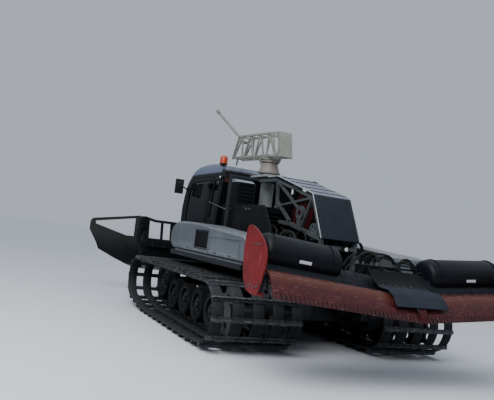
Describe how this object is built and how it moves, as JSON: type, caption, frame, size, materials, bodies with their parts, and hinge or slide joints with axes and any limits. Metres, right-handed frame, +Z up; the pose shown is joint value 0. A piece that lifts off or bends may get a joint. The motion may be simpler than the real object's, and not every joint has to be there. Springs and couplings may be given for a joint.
{
  "type": "tracked snow groomer with a winch boom",
  "caption": "Snow groomer: tracked vehicle with a front blade and folding wings, a slewing winch boom over the cab, and a raised rear tiller in two hinged halves.",
  "frame": {"origin": "centre of the bounding box's base, on the ground under the tracks", "axes": "+X forward along the vehicle, towards the blade; +Y to the vehicle's left; +Z up"},
  "size_m": [8.7346, 5.4952, 4.8599],
  "materials": {
    "frame_black": "semi-gloss",
    "tyre_rubber": "matte",
    "track_dark": "matte",
    "pod_silver": "metallic gloss",
    "cab_navy": "gloss",
    "glass_smoke": "clear",
    "interior_dark": "matte",
    "hood_dark": "satin",
    "engine_grey": "matte",
    "winch_grey": "satin",
    "cover_slate": "satin",
    "boom_pale": "satin",
    "exhaust_steel": "dull",
    "beacon_orange": "gloss",
    "drum_red": "satin",
    "blade_black": "semi-gloss",
    "rod_chrome": "polished",
    "hose_black": "satin",
    "tiller_black": "satin",
    "flap_red": "matte",
    "rotor_steel": "satin",
    "finisher_red": "satin"
  },
  "bodies": {
    "vehicle": {"chassis_frame": "frame_black", "wheel_arms": "frame_black", "road_wheels": "tyre_rubber", "sprockets": "frame_black", "track_left": "track_dark", "track_right": "track_dark", "side_pods": "pod_silver", "cab_shell": "cab_navy", "cab_glass": "glass_smoke", "cab_interior": "interior_dark", "engine_hood": "hood_dark", "engine_block": "engine_grey", "winch_frame": "winch_grey", "winch_cover": "cover_slate", "intake_box": "hood_dark", "exhaust_pipe": "exhaust_steel", "mirrors": "frame_black", "lamps": "beacon_orange", "frame_lugs": "frame_black", "winch_hydraulics": "interior_dark"},
    "door_left": {"door_left": "cab_navy", "door_left_glass": "glass_smoke"},
    "door_right": {"door_right": "cab_navy", "door_right_glass": "glass_smoke"},
    "winch_drum": {"winch_drum": "drum_red"},
    "boom": {"boom": "boom_pale", "slew_pedestal": "boom_pale"},
    "push_frame": {"push_frame": "frame_black"},
    "knuckle": {"blade_knuckle": "frame_black"},
    "blade": {"blade": "blade_black"},
    "wing_left": {"wing_left": "blade_black"},
    "wing_right": {"wing_right": "blade_black"},
    "lift_barrels": {"lift_barrels": "frame_black"},
    "lift_rods": {"lift_rods": "rod_chrome"},
    "lifter_arms": {"lifter_arms": "frame_black"},
    "lifter_link": {"lifter_link": "frame_black"},
    "tiller_barrels": {"tiller_barrels": "frame_black"},
    "tiller_rods": {"tiller_rods": "rod_chrome"},
    "tiller_carrier": {"tiller_carrier": "frame_black", "tiller_hoses": "hose_black", "centre_flap": "tyre_rubber"},
    "tiller_left": {"tiller_hood_left": "tiller_black", "tiller_flap_left": "flap_red"},
    "tiller_right": {"tiller_hood_right": "tiller_black", "tiller_flap_right": "flap_red"},
    "rotor_left": {"rotor_left": "rotor_steel"},
    "rotor_right": {"rotor_right": "rotor_steel"},
    "finisher_left": {"finisher_left": "finisher_red"},
    "finisher_right": {"finisher_right": "finisher_red"}
  },
  "joints": [
    {"name": "door_left_hinge", "type": "hinge", "parent": "vehicle", "child": "door_left", "pos_m": [1.15773, 1.002, 1.9], "axis": [0, 0, 1], "range_deg": [0, 75]},
    {"name": "door_right_hinge", "type": "hinge", "parent": "vehicle", "child": "door_right", "pos_m": [1.15773, -1.002, 1.9], "axis": [0, 0, -1], "range_deg": [0, 75]},
    {"name": "winch_spin", "type": "hinge", "parent": "vehicle", "child": "winch_drum", "pos_m": [-1.52227, 0, 2.19], "axis": [0, 1, 0], "continuous": true},
    {"name": "boom_slew", "type": "hinge", "parent": "vehicle", "child": "boom", "pos_m": [0.48273, 0, 3.28], "axis": [0, 0, 1], "continuous": true},
    {"name": "blade_lift", "type": "hinge", "parent": "vehicle", "child": "push_frame", "pos_m": [1.81773, 0, 0.64], "axis": [0, 1, 0], "range_deg": [-6, 14]},
    {"name": "blade_angle", "type": "hinge", "parent": "push_frame", "child": "knuckle", "pos_m": [3.55773, 0, 0.85], "axis": [0, 0, 1], "range_deg": [-18, 18]},
    {"name": "blade_tilt", "type": "hinge", "parent": "knuckle", "child": "blade", "pos_m": [3.80773, 0, 0.85], "axis": [1, 0, 0], "range_deg": [-7, 7]},
    {"name": "wing_left_fold", "type": "hinge", "parent": "blade", "child": "wing_left", "pos_m": [4.08773, 1.52, 1.2], "axis": [0, 0, -1], "range_deg": [-37, 28]},
    {"name": "wing_right_fold", "type": "hinge", "parent": "blade", "child": "wing_right", "pos_m": [4.08773, -1.52, 1.2], "axis": [0, 0, 1], "range_deg": [-37, 28]},
    {"name": "lift_barrel_swing", "type": "hinge", "parent": "vehicle", "child": "lift_barrels", "pos_m": [2.08773, 0, 1.085], "axis": [0, 1, 0], "range_deg": [-7.5, 16.5]},
    {"name": "lift_rod_slide", "type": "slide", "parent": "lift_barrels", "child": "lift_rods", "axis": [0.9723, 0, -0.2336], "range_m": [-0.055, 0.125]},
    {"name": "tiller_lift", "type": "hinge", "parent": "vehicle", "child": "lifter_arms", "pos_m": [-2.04227, 0, 0.65], "axis": [0, 1, 0], "range_deg": [-46, 0]},
    {"name": "top_link_swing", "type": "hinge", "parent": "vehicle", "child": "lifter_link", "pos_m": [-2.04227, 0, 0.97], "axis": [0, 1, 0], "range_deg": [-46.5, 0.5]},
    {"name": "carrier_level", "type": "hinge", "parent": "lifter_arms", "child": "tiller_carrier", "pos_m": [-3.09227, 0, 1.13], "axis": [0, 1, 0], "range_deg": [-0.5, 46.5]},
    {"name": "tiller_barrel_swing", "type": "hinge", "parent": "vehicle", "child": "tiller_barrels", "pos_m": [-2.09227, 0, 1.085], "axis": [0, 1, 0], "range_deg": [-33.5, 0.5]},
    {"name": "tiller_rod_slide", "type": "slide", "parent": "tiller_barrels", "child": "tiller_rods", "axis": [-0.9454, 0, -0.326], "range_m": [-0.005, 0.315]},
    {"name": "tiller_left_flex", "type": "hinge", "parent": "tiller_carrier", "child": "tiller_left", "pos_m": [-3.34227, 0.075, 1.12], "axis": [1, 0, 0], "range_deg": [-7, 4]},
    {"name": "tiller_right_flex", "type": "hinge", "parent": "tiller_carrier", "child": "tiller_right", "pos_m": [-3.34227, -0.075, 1.12], "axis": [-1, 0, 0], "range_deg": [-7, 4]},
    {"name": "rotor_left_spin", "type": "hinge", "parent": "tiller_left", "child": "rotor_left", "pos_m": [-3.47227, 1.00029, 1.1527], "axis": [0, 0.9969, 0.0785], "continuous": true},
    {"name": "rotor_right_spin", "type": "hinge", "parent": "tiller_right", "child": "rotor_right", "pos_m": [-3.47227, -1.00029, 1.1527], "axis": [0, 0.9969, -0.0785], "continuous": true},
    {"name": "finisher_left_fold", "type": "hinge", "parent": "tiller_left", "child": "finisher_left", "pos_m": [-3.93227, 2.16361, 1.02859], "axis": [-1, 0, 0], "range_deg": [0, 85]},
    {"name": "finisher_right_fold", "type": "hinge", "parent": "tiller_right", "child": "finisher_right", "pos_m": [-3.93227, -2.16361, 1.02859], "axis": [1, 0, 0], "range_deg": [0, 85]}
  ],
  "couplings": [
    {"joint": "lift_barrel_swing", "follows": "blade_lift", "ratio": 1.142},
    {"joint": "lift_rod_slide", "follows": "blade_lift", "m_per_rad": 0.5021},
    {"joint": "top_link_swing", "follows": "tiller_lift", "ratio": 1},
    {"joint": "carrier_level", "follows": "tiller_lift", "ratio": -1},
    {"joint": "tiller_barrel_swing", "follows": "tiller_lift", "ratio": 0.7175},
    {"joint": "tiller_rod_slide", "follows": "tiller_lift", "m_per_rad": -0.3874}
  ]
}
